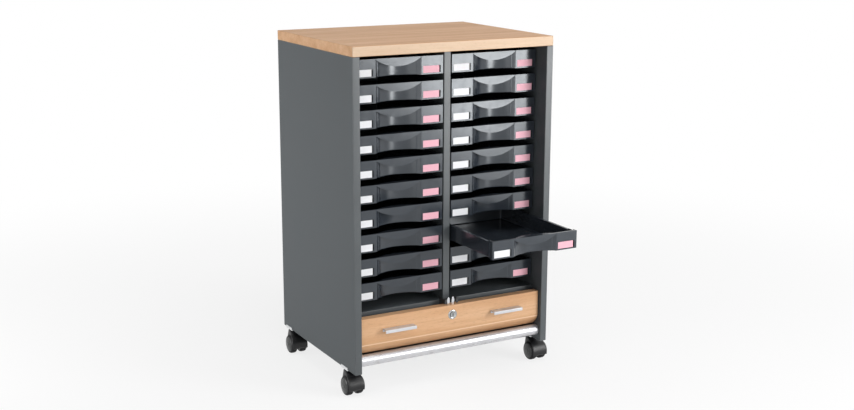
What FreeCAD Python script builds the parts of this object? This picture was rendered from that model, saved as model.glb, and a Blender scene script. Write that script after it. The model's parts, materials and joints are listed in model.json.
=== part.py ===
"""Mobile tray storage unit: two columns of sliding trays over a lockable drawer, on four swivel castors.

Frame: +Z up, the front faces -Y, X runs along the front. The origin is on the floor, under the centre
of the whole unit with one tray pulled out. All sizes are in millimetres.
"""

import FreeCAD, Part
import math
import os

# Carcass
UNIT_WIDTH = 572.0
UNIT_DEPTH = 459.0
SIDE_HEIGHT = 797.0
BOARD = 19.0  # sides, divider, shelf and base
TOP_THICKNESS = 25.0
BACK_THICKNESS = 8.0
FLOOR_CLEARANCE = 62.0  # floor to the lower edge of the side panels
TRAY_SETBACK = 47.0  # tray fronts, divider and shelf behind the side panels' front edges
SHELF_TOP = 147.0  # above the lower edge of the side panels
BASE_RISE = 13.0  # base board above the lower edge of the side panels
BASE_SETBACK = 41.0
DOWEL_DIAMETER = 8.0
DOWEL_IN_FACE = 12.0
DOWEL_IN_EDGE = 20.0
DOWEL_COUNT = 3
DOWEL_END_MARGIN = 55.0
DOWEL_CLEARANCE = 0.05

# Front tube
TUBE_DIAMETER = 30.0
TUBE_WALL = 1.5
TUBE_SETBACK = 23.5  # axis behind the side panels' front edges
TUBE_RISE = 27.2  # axis above the lower edge of the side panels
PLUG_LENGTH = 14.0

# Trays
ROWS = 10
TRAY_TOP_GAP = 13.0  # top of the first tray below the top board
TRAY_SHELF_GAP = 27.6  # underside of the last tray above the shelf
TRAY_HEIGHT = 46.0
TRAY_LENGTH = 350.0
TRAY_FRONT_GAP = 3.3  # tray front to each side of its bay
TRAY_FRONT_THICKNESS = 3.0
TRAY_WALL = 2.0
RETURN_DEPTH = 14.0  # cheek behind each end of the tray front
SIDE_DROP = 3.0  # side walls and back are lower than the front
SHOULDER_LENGTH = 27.0  # full-height stretch of the side walls behind the front
FLANGE_THICKNESS = 2.5
OPEN_TRAY = "tray_right_08"
OPEN_TRAY_PULL = 205.0  # how far the open tray stands out
PULL_WIDTH = 126.0
PULL_DEPTH = 22.0
PULL_WEB = 2.5
LIP_SETBACK = 0.8  # middle of the front behind its label ends
LIP_MARGIN = 0.6  # set-back stretch beyond each end of the pull
LIP_DROP = 18.5
LIP_THICKNESS = 2.5
LABEL_WIDTH = 46.0
LABEL_HEIGHT = 17.0
LABEL_DEPTH = 0.8
LABEL_RISE = 4.3  # lower edge of the label above the tray's lower edge
LABEL_LEFT_MARGIN = 6.8
LABEL_RIGHT_MARGIN = 12.0

# Tray runners, one channel at each side of each tray
RUNNER_WIDTH = 8.0
RUNNER_WALL = 2.0
RUNNER_CLEARANCE = 0.35  # above and below the tray's flange
RUNNER_SIDE_GAP = 0.9  # tray body to runner
RUNNER_START_GAP = 2.0  # behind the cheeks of the tray front
RUNNER_STOP_GAP = 0.5  # back of a closed tray to the runner's end wall

# Drawer
FRONT_SETBACK = 12.0  # front face behind the side panels' front edges
FRONT_THICKNESS = 22.0
FRONT_REVEAL = 7.5  # top edge of the front below the top of the shelf
FRONT_TUBE_GAP = 1.3  # front passes over the tube
FRONT_END_GAP = 2.0
FRONT_BEND_RADIUS = 26.0  # between the upright face and the 45 degree bevel
BOX_BOARD = 12.0
BOX_OFFSET = 6.5  # drawer box above the lower edge of the front
BOX_SHELF_GAP = 13.0  # drawer box below the shelf
BOX_BACK_GAP = 32.0  # drawer box to the back panel
BOTTOM_THICKNESS = 4.0
BOTTOM_RISE = 6.0
GROOVE_DEPTH = 6.0
SLIDE_GAP = 12.7  # drawer box to each side panel
SLIDE_START = 20.0  # behind the back face of the drawer front
SLIDE_END_GAP = 5.0  # slides end ahead of the box's back
SLIDE_RISE = 28.0  # slide axis above the box's lower edge
SLIDE_HEIGHT = 16.0
SLIDE_DEPTH = 8.0
SLIDE_WALL = 1.5
SLIDE_PLATE_HEIGHT = 34.0
SLIDE_CLEARANCE = 0.3

# Drawer handles
HANDLE_OFFSET = 159.4  # centre of each handle from the middle of the unit
HANDLE_DROP = 31.6  # top of the handle below the top edge of the front
HANDLE_LENGTH = 88.0
HANDLE_HEIGHT = 8.3
HANDLE_WALL = 2.0
HANDLE_REACH = 20.0  # front of the handle from the drawer face
HANDLE_EDGE_RADIUS = 1.2
POST_DIAMETER = 7.0
POST_SPACING = 68.0
SCREW_DIAMETER = 4.0
SCREW_HOLE_CLEARANCE = 0.25
SCREW_IN_POST = 9.0
SCREW_HEAD_DIAMETER = 8.0
SCREW_HEAD_HEIGHT = 2.5

# Drawer lock with two hook bolts
LOCK_DROP = 25.5  # axis below the top edge of the front
ROSETTE_DIAMETER = 26.0
ROSETTE_THICKNESS = 2.0
BARREL_DIAMETER = 18.8
BARREL_CLEARANCE = 0.1
CYLINDER_DIAMETER = 14.0
CYLINDER_CLEARANCE = 0.08
CYLINDER_PROUD = 0.4
CYLINDER_END_GAP = 0.4
KEY_SLOT_WIDTH = 2.6
KEY_SLOT_HEIGHT = 8.6
KEY_SLOT_DEPTH = 5.0
CASE_WIDTH = 48.0
CASE_BELOW = 22.0
CASE_ABOVE = 18.0
CASE_DEPTH = 14.0
CASE_CLEARANCE = 0.25
HOOK_THICKNESS = 2.5
HOOK_SLOT_WIDTH = 38.0
HOOK_SLOT_DEPTH = 3.8
HOOK_SLOT_SKIN = 1.3  # case wall in front of the hook slot
HOOK_PIVOT_DROP = 12.0
HOOK_PIVOT_OFFSET = 6.1
HOOK_PIVOT_DIAMETER = 4.0
HOOK_PIVOT_CLEARANCE = 0.05
HOOK_INNER = 2.6
HOOK_SHANK_WIDTH = 7.0
HOOK_HEEL = 5.0  # shank below its pivot
HOOK_HEEL_ROOM = 2.0
HOOK_BARB = 2.2
HOOK_BARB_ROOT = 13.5  # where the barb leaves the shank, below the tip
HOOK_BARB_LOW = 10.5
HOOK_BARB_HIGH = 8.0
HOOK_TAPER = 7.5
HOOK_TIP_WIDTH = 3.9
HOOK_TIP_OUTER = 1.2  # tip inside the shank's outer edge
HOOK_PROUD = 18.0  # above the top edge of the drawer front

# Keep on the shelf, behind whose lips the hooks spread
KEEP_PLATE = 2.0
KEEP_HALF_WIDTH = 19.8
KEEP_PLATE_HEIGHT = 16.0
KEEP_HEIGHT = 12.0
KEEP_LIFT = 2.5  # above the top edge of the drawer front
KEEP_LIP_GAP = 1.4  # lip to the barb of the closed hook
KEEP_LIP_FORWARD = 2.5  # lip in front of the hooks

# Castors
WHEEL_DIAMETER = 50.0
WHEEL_WIDTH = 17.5
WHEEL_DOME = 3.0
WHEEL_GAP = 10.0  # between the two wheels of a castor
WHEEL_EDGE_RADIUS = 5.0
CASTOR_TRAIL = 24.0
FRONT_CASTOR_INSET = 63.0  # swivel axis behind the side panels' front edges
REAR_CASTOR_INSET = 38.0  # swivel axis ahead of the side panels' back edges
HOOD_WEB = 8.0
HOOD_WALL = 2.0
HOOD_GAP = 1.2  # around the wheels
HOOD_HALF_WIDTH = 22.5
HOOD_EDGE_RADIUS = 1.8
HOOD_SHOULDER_DROP = 1.5  # shoulder between shell and boss, below the boss's top
HOOD_FRONT_LOW = -9.0  # lower edge of the hood from the axle, at the front
HOOD_REAR_LOW = 3.0  # and at the swivel side
HOOD_ARM_HALF_HEIGHT = 9.0
HOOD_ARM_DROP = 2.0  # arm below the boss
BOSS_DIAMETER = 24.0
BOSS_HEIGHT = 15.0
BOSS_GAP = 0.3  # under the clasp
BOSS_FLOOR = 3.0  # under the stem
STEM_DIAMETER = 10.0
STEM_CLEARANCE = 0.05
STEM_IN_PANEL = 34.0
STEM_END_GAP = 1.0
AXLE_DIAMETER = 6.0
AXLE_CLEARANCE = 0.05
AXLE_END_GAP = 0.5
AXLE_COVER = 4.0  # wheel left over the end of its bore
CLASP_LENGTH = 38.0
CLASP_HEIGHT = 6.5
CLASP_WALL = 1.5
SLEEVE_WALL = 1.0

# Places worked out from the sizes above
HALF_WIDTH = UNIT_WIDTH / 2
INNER_X = HALF_WIDTH - BOARD
BAY_WIDTH = INNER_X - BOARD / 2
BAY_CENTRE = (INNER_X + BOARD / 2) / 2
FRONT_Y = (OPEN_TRAY_PULL - TRAY_SETBACK - UNIT_DEPTH) / 2
BACK_Y = FRONT_Y + UNIT_DEPTH
BACK_PANEL_Y = BACK_Y - BACK_THICKNESS
TRAY_Y = FRONT_Y + TRAY_SETBACK
PANEL_Z = FLOOR_CLEARANCE
PANEL_TOP_Z = PANEL_Z + SIDE_HEIGHT
SHELF_Z = PANEL_Z + SHELF_TOP - BOARD
BASE_Z = PANEL_Z + BASE_RISE
TRAY_STACK = SIDE_HEIGHT - SHELF_TOP - TRAY_TOP_GAP - TRAY_SHELF_GAP
TRAY_PITCH = (TRAY_STACK - TRAY_HEIGHT) / (ROWS - 1)
TRAY_FRONT_WIDTH = BAY_WIDTH - 2 * TRAY_FRONT_GAP
TRAY_BODY_WIDTH = BAY_WIDTH - 2 * (RUNNER_WIDTH + RUNNER_SIDE_GAP)
PULL_RADIUS = (PULL_WIDTH**2 / 4 + PULL_DEPTH**2) / (2 * PULL_DEPTH)
FACE_Y = FRONT_Y + FRONT_SETBACK
FACE_BACK_Y = FACE_Y + FRONT_THICKNESS
FACE_TOP_Z = PANEL_Z + SHELF_TOP - FRONT_REVEAL
FACE_BOTTOM_Z = PANEL_Z + TUBE_RISE + TUBE_DIAMETER / 2 + FRONT_TUBE_GAP
BOX_HALF_WIDTH = INNER_X - SLIDE_GAP
BOX_LENGTH = BACK_PANEL_Y - BOX_BACK_GAP - FACE_BACK_Y
BOX_Z = FACE_BOTTOM_Z + BOX_OFFSET
BOX_HEIGHT = SHELF_Z - BOX_SHELF_GAP - BOX_Z
SLIDE_Z = BOX_Z + SLIDE_RISE
SLIDE_Y = FACE_BACK_Y + SLIDE_START
SLIDE_LENGTH = BOX_LENGTH - SLIDE_START - SLIDE_END_GAP
HANDLE_Z = FACE_TOP_Z - HANDLE_DROP - HANDLE_HEIGHT / 2
LOCK_Z = FACE_TOP_Z - LOCK_DROP
CASE_Y = FACE_BACK_Y - CASE_DEPTH
HOOK_Y = CASE_Y + HOOK_SLOT_SKIN + HOOK_SLOT_DEPTH / 2
HOOK_PIVOT_Z = LOCK_Z - HOOK_PIVOT_DROP
CASTOR_X = HALF_WIDTH - BOARD / 2
AXLE_Z = WHEEL_DIAMETER / 2
CLASP_Z = PANEL_Z - CLASP_WALL


def block(x, y, z):
    """Box between the low and high values of x, y and z."""
    corner = FreeCAD.Vector(x[0], y[0], z[0])
    return Part.makeBox(x[1] - x[0], y[1] - y[0], z[1] - z[0], corner)


def centred(middle, size):
    """Low and high value of a stretch of that size about its middle."""
    return (middle - size / 2, middle + size / 2)


def rod(start, direction, diameter, length):
    """Cylinder from a start point along a direction."""
    return Part.makeCylinder(diameter / 2, length, FreeCAD.Vector(*start), FreeCAD.Vector(*direction))


def prism(points, push):
    """Polygon through the points, extruded by the push vector."""
    outline = Part.makePolygon([FreeCAD.Vector(*p) for p in points + points[:1]])
    return Part.Face(outline).extrude(FreeCAD.Vector(*push))


def moved(shape, x=0.0, y=0.0, z=0.0):
    """Copy of the shape, moved."""
    copy = shape.copy()
    copy.translate(FreeCAD.Vector(x, y, z))
    return copy


def mirrored(shape):
    """The shape's mirror image in the plane x = 0."""
    return shape.mirror(FreeCAD.Vector(0, 0, 0), FreeCAD.Vector(1, 0, 0))


def pair(shape):
    """The shape and its mirror image as separate solids."""
    return Part.makeCompound([mirrored(shape), shape])


def save(name, shape):
    """Writes one sub-part."""
    shape.exportStep("parts/" + name + ".step")


# Carcass -----------------------------------------------------------------------------------------


def dowel_rows():
    """Distances of the dowels along the depth, as y values."""
    first = TRAY_Y + DOWEL_END_MARGIN
    last = BACK_PANEL_Y - DOWEL_END_MARGIN
    step = (last - first) / (DOWEL_COUNT - 1)
    return [first + i * step for i in range(DOWEL_COUNT)]


def dowels(clearance):
    """All carcass dowels, or their holes when a clearance is given."""
    diameter = DOWEL_DIAMETER + 2 * clearance
    length = DOWEL_IN_FACE + DOWEL_IN_EDGE
    pins = []
    for y in dowel_rows():
        for z in (SHELF_Z + BOARD / 2, BASE_Z + BOARD / 2):
            side = rod((INNER_X - DOWEL_IN_EDGE, y, z), (1, 0, 0), diameter, length)
            pins += [side, mirrored(side)]
        edge = rod((CASTOR_X, y, PANEL_TOP_Z - DOWEL_IN_EDGE), (0, 0, 1), diameter, length)
        pins += [edge, mirrored(edge)]
        pins.append(rod((0, y, PANEL_TOP_Z - DOWEL_IN_EDGE), (0, 0, 1), diameter, length))
        pins.append(rod((0, y, SHELF_Z + BOARD - DOWEL_IN_FACE), (0, 0, 1), diameter, length))
    return Part.makeCompound(pins)


def castor_places():
    """Name and swivel axis of each castor."""
    front = FRONT_Y + FRONT_CASTOR_INSET
    rear = BACK_Y - REAR_CASTOR_INSET
    return [
        ("front_left", -CASTOR_X, front),
        ("front_right", CASTOR_X, front),
        ("rear_left", -CASTOR_X, rear),
        ("rear_right", CASTOR_X, rear),
    ]


def side_panel(holes):
    """Right side panel, drilled for dowels and castor sleeves."""
    panel = block((INNER_X, HALF_WIDTH), (FRONT_Y, BACK_Y), (PANEL_Z, PANEL_TOP_Z))
    sleeve = STEM_DIAMETER + 2 * (STEM_CLEARANCE + SLEEVE_WALL)
    for _, x, y in castor_places():
        if x > 0:
            panel = panel.cut(rod((x, y, PANEL_Z), (0, 0, 1), sleeve, STEM_IN_PANEL))
    return panel.cut(holes)


def make_carcass():
    """Boards of the carcass and the dowels between them."""
    holes = dowels(DOWEL_CLEARANCE)
    right = side_panel(holes)
    save("side_panel_right", right)
    save("side_panel_left", mirrored(right))
    between = (-INNER_X, INNER_X)
    depth = (TRAY_Y, BACK_PANEL_Y)
    save("tray_shelf", block(between, depth, (SHELF_Z, SHELF_Z + BOARD)).cut(holes))
    divider = block(centred(0, BOARD), depth, (SHELF_Z + BOARD, PANEL_TOP_Z))
    save("divider_panel", divider.cut(holes))
    base = block(between, (FRONT_Y + BASE_SETBACK, BACK_PANEL_Y), (BASE_Z, BASE_Z + BOARD))
    save("base_board", base.cut(holes))
    save("back_panel", block(between, (BACK_PANEL_Y, BACK_Y), (BASE_Z, PANEL_TOP_Z)))
    top = block(
        (-HALF_WIDTH, HALF_WIDTH), (FRONT_Y, BACK_Y), (PANEL_TOP_Z, PANEL_TOP_Z + TOP_THICKNESS)
    )
    save("top_board", top.cut(holes))
    save("carcass_dowels", dowels(0))


def make_front_tube():
    """Tube across the foot of the unit, carried on a plug at each end."""
    start = (-INNER_X, FRONT_Y + TUBE_SETBACK, PANEL_Z + TUBE_RISE)
    bore = TUBE_DIAMETER - 2 * TUBE_WALL
    tube = rod(start, (1, 0, 0), TUBE_DIAMETER, 2 * INNER_X)
    save("front_tube", tube.cut(rod(start, (1, 0, 0), bore, 2 * INNER_X)))
    plug = rod(
        (INNER_X - PLUG_LENGTH, start[1], start[2]), (1, 0, 0), bore - 2 * DOWEL_CLEARANCE, PLUG_LENGTH
    )
    save("tube_end_plugs", pair(plug))


# Trays -------------------------------------------------------------------------------------------


def pull_segment(grow, z):
    """Upright segment of a cylinder behind the tray front: the finger recess, grown by a wall."""
    centre = FreeCAD.Vector(0, PULL_DEPTH - PULL_RADIUS, z[0])
    drum = Part.makeCylinder(PULL_RADIUS + grow, z[1] - z[0], centre)
    reach = PULL_WIDTH + 4 * PULL_DEPTH
    return drum.common(block(centred(0, reach), (0, 2 * PULL_DEPTH), z))


def pull_lip():
    """Lip over the finger recess: straight along the top, an arc along its lower edge."""
    half = PULL_WIDTH / 2
    edge = TRAY_HEIGHT - PULL_WEB
    left, right = FreeCAD.Vector(-half, 0, edge), FreeCAD.Vector(half, 0, edge)
    arc = Part.Arc(left, FreeCAD.Vector(0, 0, edge - LIP_DROP), right).toShape()
    face = Part.Face(Part.Wire([arc, Part.makeLine(right, left)]))
    face.translate(FreeCAD.Vector(0, LIP_SETBACK, 0))
    return face.extrude(FreeCAD.Vector(0, LIP_THICKNESS, 0))


def label_recess(x_low):
    """Shallow pocket for a label card, from its left edge."""
    z = (LABEL_RISE, LABEL_RISE + LABEL_HEIGHT)
    return block((x_low, x_low + LABEL_WIDTH), (0, LABEL_DEPTH), z)


def tray_shell():
    """Open-topped tray body with the pull formed into its front."""
    half = TRAY_BODY_WIDTH / 2
    low_top = TRAY_HEIGHT - SIDE_DROP
    shell = block((-half, half), (0, TRAY_LENGTH), (0, low_top))
    shell = shell.fuse(block((-half, half), (0, SHOULDER_LENGTH), (low_top, TRAY_HEIGHT)))
    inside = block(
        (TRAY_WALL - half, half - TRAY_WALL),
        (TRAY_FRONT_THICKNESS, TRAY_LENGTH - TRAY_WALL),
        (TRAY_WALL, TRAY_HEIGHT),
    )
    shell = shell.cut(inside.cut(pull_segment(TRAY_WALL, (0, TRAY_HEIGHT))))
    return shell.cut(pull_segment(0, (0, TRAY_HEIGHT - PULL_WEB)))


def tray():
    """One tray, centred in x, its front face at y = 0 and its underside at z = 0."""
    half = TRAY_FRONT_WIDTH / 2
    body_half = TRAY_BODY_WIDTH / 2
    low_top = TRAY_HEIGHT - SIDE_DROP
    middle = PULL_WIDTH / 2 + LIP_MARGIN
    shape = tray_shell().cut(block((-middle, middle), (0, LIP_SETBACK), (0, TRAY_HEIGHT)))
    shape = shape.fuse(pull_lip())
    for sign in (-1, 1):
        across = sorted((sign * body_half, sign * half))
        wing = block(across, (0, TRAY_FRONT_THICKNESS), (0, TRAY_HEIGHT))
        end = sorted((sign * (half - TRAY_WALL), sign * half))
        cheek = block(end, (0, RETURN_DEPTH), (0, TRAY_HEIGHT))
        rail = block(across, (SHOULDER_LENGTH, TRAY_LENGTH), (low_top - FLANGE_THICKNESS, low_top))
        shape = shape.fuse(wing).fuse(cheek).fuse(rail)
    shape = shape.cut(label_recess(LABEL_LEFT_MARGIN - half))
    shape = shape.cut(label_recess(half - LABEL_RIGHT_MARGIN - LABEL_WIDTH))
    return shape.removeSplitter()


def tray_bottom(row):
    """Height of the underside of a tray, rows counted from the top."""
    return PANEL_TOP_Z - TRAY_TOP_GAP - TRAY_HEIGHT - row * TRAY_PITCH


def tray_name(column, row):
    """Name of a tray's node and body."""
    return "tray_%s_%02d" % (("left", "right")[column], row + 1)


def tray_places():
    """Name, bay centre, front face and underside of every tray."""
    places = []
    for column in (0, 1):
        for row in range(ROWS):
            name = tray_name(column, row)
            y = TRAY_Y - (OPEN_TRAY_PULL if name == OPEN_TRAY else 0.0)
            x = (-BAY_CENTRE, BAY_CENTRE)[column]
            places.append((name, x, y, tray_bottom(row)))
    return places


def make_trays():
    """Every tray in its place."""
    shape = tray()
    for name, x, y, z in tray_places():
        save(name, moved(shape, x, y, z))


def runner():
    """Channel that holds a tray's flange, on a wall at x = 0 and open towards -x."""
    flange_low = TRAY_HEIGHT - SIDE_DROP - FLANGE_THICKNESS
    slot = (flange_low - RUNNER_CLEARANCE, flange_low + FLANGE_THICKNESS + RUNNER_CLEARANCE)
    start = RETURN_DEPTH + RUNNER_START_GAP
    stop = TRAY_LENGTH + RUNNER_STOP_GAP
    height = (slot[0] - RUNNER_WALL, slot[1] + RUNNER_WALL)
    outer = block((-RUNNER_WIDTH, 0), (start, stop + RUNNER_WALL), height)
    return outer.cut(block((-RUNNER_WIDTH, -RUNNER_WALL), (start, stop), slot))


def make_runners():
    """Four rows of runners, one on each wall of each bay."""
    right_facing = runner()
    left_facing = mirrored(right_facing)
    walls = [
        ("tray_runners_left_side", left_facing, -INNER_X),
        ("tray_runners_left_divider", right_facing, -BOARD / 2),
        ("tray_runners_right_divider", left_facing, BOARD / 2),
        ("tray_runners_right_side", right_facing, INNER_X),
    ]
    for name, shape, x in walls:
        rows = [moved(shape, x, TRAY_Y, tray_bottom(row)) for row in range(ROWS)]
        save(name, Part.makeCompound(rows))


# Drawer ------------------------------------------------------------------------------------------


def front_profile():
    """Side view of the drawer front: upright face, bend, 45 degree bevel, flat back."""
    corner_z = FACE_BOTTOM_Z + FRONT_THICKNESS  # where face and bevel would meet
    reach = FRONT_BEND_RADIUS * math.tan(math.radians(22.5))
    dip = FRONT_BEND_RADIUS * (1 / math.cos(math.radians(22.5)) - 1)

    def at(y, z):
        return FreeCAD.Vector(-INNER_X + FRONT_END_GAP, y, z)

    face_end = at(FACE_Y, corner_z + reach)
    bend = at(
        FACE_Y + dip * math.cos(math.radians(22.5)), corner_z + dip * math.sin(math.radians(22.5))
    )
    bevel_start = at(FACE_Y + reach * math.sqrt(0.5), corner_z - reach * math.sqrt(0.5))
    foot = at(FACE_BACK_Y, FACE_BOTTOM_Z)
    back_top = at(FACE_BACK_Y, FACE_TOP_Z)
    face_top = at(FACE_Y, FACE_TOP_Z)
    edges = [
        Part.makeLine(face_top, face_end),
        Part.Arc(face_end, bend, bevel_start).toShape(),
        Part.makeLine(bevel_start, foot),
        Part.makeLine(foot, back_top),
        Part.makeLine(back_top, face_top),
    ]
    return Part.Face(Part.Wire(edges))


def case_block(clearance):
    """Lock case, or the pocket for it when a clearance is given."""
    return block(
        centred(0, CASE_WIDTH + 2 * clearance),
        (CASE_Y - clearance, FACE_BACK_Y),
        (LOCK_Z - CASE_BELOW - clearance, LOCK_Z + CASE_ABOVE + clearance),
    )


def hook_slot(z):
    """Flat slot in which both hooks swing."""
    return block(centred(0, HOOK_SLOT_WIDTH), centred(HOOK_Y, HOOK_SLOT_DEPTH), z)


def box_bottom():
    """Drawer bottom, let into grooves all round except under the back."""
    half = BOX_HALF_WIDTH - BOX_BOARD + GROOVE_DEPTH
    z = BOX_Z + BOTTOM_RISE
    y = (FACE_BACK_Y - GROOVE_DEPTH, FACE_BACK_Y + BOX_LENGTH)
    return block((-half, half), y, (z, z + BOTTOM_THICKNESS))


def make_drawer_box():
    """Front, sides, back and bottom of the drawer."""
    bottom = box_bottom()
    save("drawer_bottom", bottom)
    front = front_profile().extrude(FreeCAD.Vector(2 * (INNER_X - FRONT_END_GAP), 0, 0))
    barrel_hole = rod(
        (0, FACE_Y, LOCK_Z), (0, 1, 0), BARREL_DIAMETER + 2 * BARREL_CLEARANCE, FRONT_THICKNESS
    )
    front = front.cut(bottom).cut(case_block(CASE_CLEARANCE)).cut(barrel_hole)
    screw_holes = handle_screws(SCREW_HOLE_CLEARANCE)
    front = front.cut(screw_holes).cut(mirrored(screw_holes))
    save("drawer_front", front.cut(hook_slot((LOCK_Z, FACE_TOP_Z))))
    y = (FACE_BACK_Y, FACE_BACK_Y + BOX_LENGTH)
    z = (BOX_Z, BOX_Z + BOX_HEIGHT)
    side = block((BOX_HALF_WIDTH - BOX_BOARD, BOX_HALF_WIDTH), y, z).cut(bottom)
    save("drawer_sides", pair(side))
    inner = BOX_HALF_WIDTH - BOX_BOARD
    back_low = BOX_Z + BOTTOM_RISE + BOTTOM_THICKNESS
    save("drawer_back", block((-inner, inner), (y[1] - BOX_BOARD, y[1]), (back_low, z[1])))


def make_drawer_slides():
    """Channels on the side panels and the rails on the drawer that run in them."""
    y = (SLIDE_Y, SLIDE_Y + SLIDE_LENGTH)
    channel = block((INNER_X - SLIDE_DEPTH, INNER_X), y, centred(SLIDE_Z, SLIDE_HEIGHT))
    inside = block(
        (INNER_X - SLIDE_DEPTH, INNER_X - SLIDE_WALL), y, centred(SLIDE_Z, SLIDE_HEIGHT - 2 * SLIDE_WALL)
    )
    save("drawer_slide_channels", pair(channel.cut(inside)))
    plate = block(
        (BOX_HALF_WIDTH, BOX_HALF_WIDTH + SLIDE_WALL), y, centred(SLIDE_Z, SLIDE_PLATE_HEIGHT)
    )
    rail = block(
        (BOX_HALF_WIDTH, INNER_X - SLIDE_WALL - SLIDE_CLEARANCE),
        y,
        centred(SLIDE_Z, SLIDE_HEIGHT - 2 * (SLIDE_WALL + SLIDE_CLEARANCE)),
    )
    save("drawer_slide_rails", pair(plate.fuse(rail).removeSplitter()))


def handle_screws(clearance):
    """Screws of the right handle from the back of the drawer front, or their holes in it."""
    start = FACE_Y - SCREW_IN_POST
    length = FACE_BACK_Y - start
    screws = []
    for x in centred(HANDLE_OFFSET, POST_SPACING):
        shank = rod((x, start, HANDLE_Z), (0, 1, 0), SCREW_DIAMETER + 2 * clearance, length)
        head = rod((x, FACE_BACK_Y, HANDLE_Z), (0, 1, 0), SCREW_HEAD_DIAMETER, SCREW_HEAD_HEIGHT)
        screws.append(shank.fuse(head))
    return Part.makeCompound(screws)


def make_handles():
    """Two channel handles, open below, each on two round posts with a screw in it."""
    front = FACE_Y - HANDLE_REACH
    x = centred(HANDLE_OFFSET, HANDLE_LENGTH)
    low, high = centred(HANDLE_Z, HANDLE_HEIGHT)
    handle = block(x, (front, FACE_Y), (low, high))
    front_edges = [edge for edge in handle.Edges if edge.BoundBox.YMax < FACE_Y]
    long_edges = [edge for edge in front_edges if edge.Length > HANDLE_REACH]
    handle = handle.makeFillet(HANDLE_EDGE_RADIUS, long_edges)
    handle = handle.cut(block(x, (front + HANDLE_WALL, FACE_Y - HANDLE_WALL), (low, high - HANDLE_WALL)))
    post_length = HANDLE_REACH - HANDLE_WALL
    for post_x in centred(HANDLE_OFFSET, POST_SPACING):
        handle = handle.fuse(
            rod((post_x, FACE_Y - post_length, HANDLE_Z), (0, 1, 0), POST_DIAMETER, post_length)
        )
    screws = handle_screws(0)
    save("drawer_handles", pair(handle.cut(screws)))
    save("handle_screws", Part.makeCompound(screws.Solids + mirrored(screws).Solids))


# Drawer lock -------------------------------------------------------------------------------------


def hook_pivot(diameter):
    """Pivot of the right hook across the hook slot."""
    start = (HOOK_PIVOT_OFFSET, HOOK_Y - HOOK_SLOT_DEPTH / 2, HOOK_PIVOT_Z)
    return rod(start, (0, 1, 0), diameter, HOOK_SLOT_DEPTH)


def hook():
    """Right hook bolt: shank, outward barb and tapered tip."""
    heel = HOOK_PIVOT_Z - HOOK_HEEL
    tip = FACE_TOP_Z + HOOK_PROUD
    outer = HOOK_INNER + HOOK_SHANK_WIDTH
    barb = outer + HOOK_BARB
    outline = [
        (HOOK_INNER, heel),
        (outer, heel),
        (outer, tip - HOOK_BARB_ROOT),
        (barb, tip - HOOK_BARB_LOW),
        (barb, tip - HOOK_BARB_HIGH),
        (outer - HOOK_TIP_OUTER, tip),
        (outer - HOOK_TIP_OUTER - HOOK_TIP_WIDTH, tip),
        (HOOK_INNER, tip - HOOK_TAPER),
    ]
    y = HOOK_Y - HOOK_THICKNESS / 2
    shape = prism([(x, y, z) for x, z in outline], (0, HOOK_THICKNESS, 0))
    return shape.cut(hook_pivot(HOOK_PIVOT_DIAMETER + 2 * HOOK_PIVOT_CLEARANCE))


def make_lock():
    """Case with rosette and barrel, key cylinder, two hooks, and the keep on the shelf."""
    bore = CYLINDER_DIAMETER + 2 * CYLINDER_CLEARANCE
    rosette_y = FACE_Y - ROSETTE_THICKNESS
    bore_length = HOOK_Y - HOOK_SLOT_DEPTH / 2 - rosette_y
    case = case_block(0)
    case = case.fuse(rod((0, FACE_Y, LOCK_Z), (0, 1, 0), BARREL_DIAMETER, CASE_Y - FACE_Y))
    case = case.fuse(rod((0, rosette_y, LOCK_Z), (0, 1, 0), ROSETTE_DIAMETER, ROSETTE_THICKNESS))
    case = case.cut(rod((0, rosette_y, LOCK_Z), (0, 1, 0), bore, bore_length))
    case = case.cut(hook_slot((HOOK_PIVOT_Z - HOOK_HEEL - HOOK_HEEL_ROOM, LOCK_Z + CASE_ABOVE)))
    pivot = hook_pivot(HOOK_PIVOT_DIAMETER)
    save("lock_case", case.fuse(pivot).fuse(mirrored(pivot)))

    start = rosette_y - CYLINDER_PROUD
    length = bore_length + CYLINDER_PROUD - CYLINDER_END_GAP
    cylinder = rod((0, start, LOCK_Z), (0, 1, 0), CYLINDER_DIAMETER, length)
    key_slot = block(
        centred(0, KEY_SLOT_WIDTH), (start, start + KEY_SLOT_DEPTH), centred(LOCK_Z, KEY_SLOT_HEIGHT)
    )
    save("lock_cylinder", cylinder.cut(key_slot))

    right_hook = hook()
    save("lock_hook_right", right_hook)
    save("lock_hook_left", mirrored(right_hook))
    save("lock_keep", lock_keep())


def lock_keep():
    """Keep: plate on the shelf's front edge, two arms over the drawer front, and a lip on each arm."""
    low = FACE_TOP_Z + KEEP_LIFT
    z = (low, low + KEEP_HEIGHT)
    shelf_top = SHELF_Z + BOARD
    front = HOOK_Y - HOOK_THICKNESS / 2 - KEEP_LIP_FORWARD - KEEP_PLATE
    lip_x = HOOK_INNER + HOOK_SHANK_WIDTH + HOOK_BARB + KEEP_LIP_GAP
    plate = block(
        (-KEEP_HALF_WIDTH, KEEP_HALF_WIDTH),
        (TRAY_Y - KEEP_PLATE, TRAY_Y),
        (shelf_top - KEEP_PLATE_HEIGHT, shelf_top),
    )
    arm = block((KEEP_HALF_WIDTH - KEEP_PLATE, KEEP_HALF_WIDTH), (front, TRAY_Y), z)
    lip = block((lip_x, KEEP_HALF_WIDTH), (front, front + KEEP_PLATE), z)
    arm = arm.fuse(lip)
    return plate.fuse(arm).fuse(mirrored(arm)).removeSplitter()


# Castors -----------------------------------------------------------------------------------------


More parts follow.
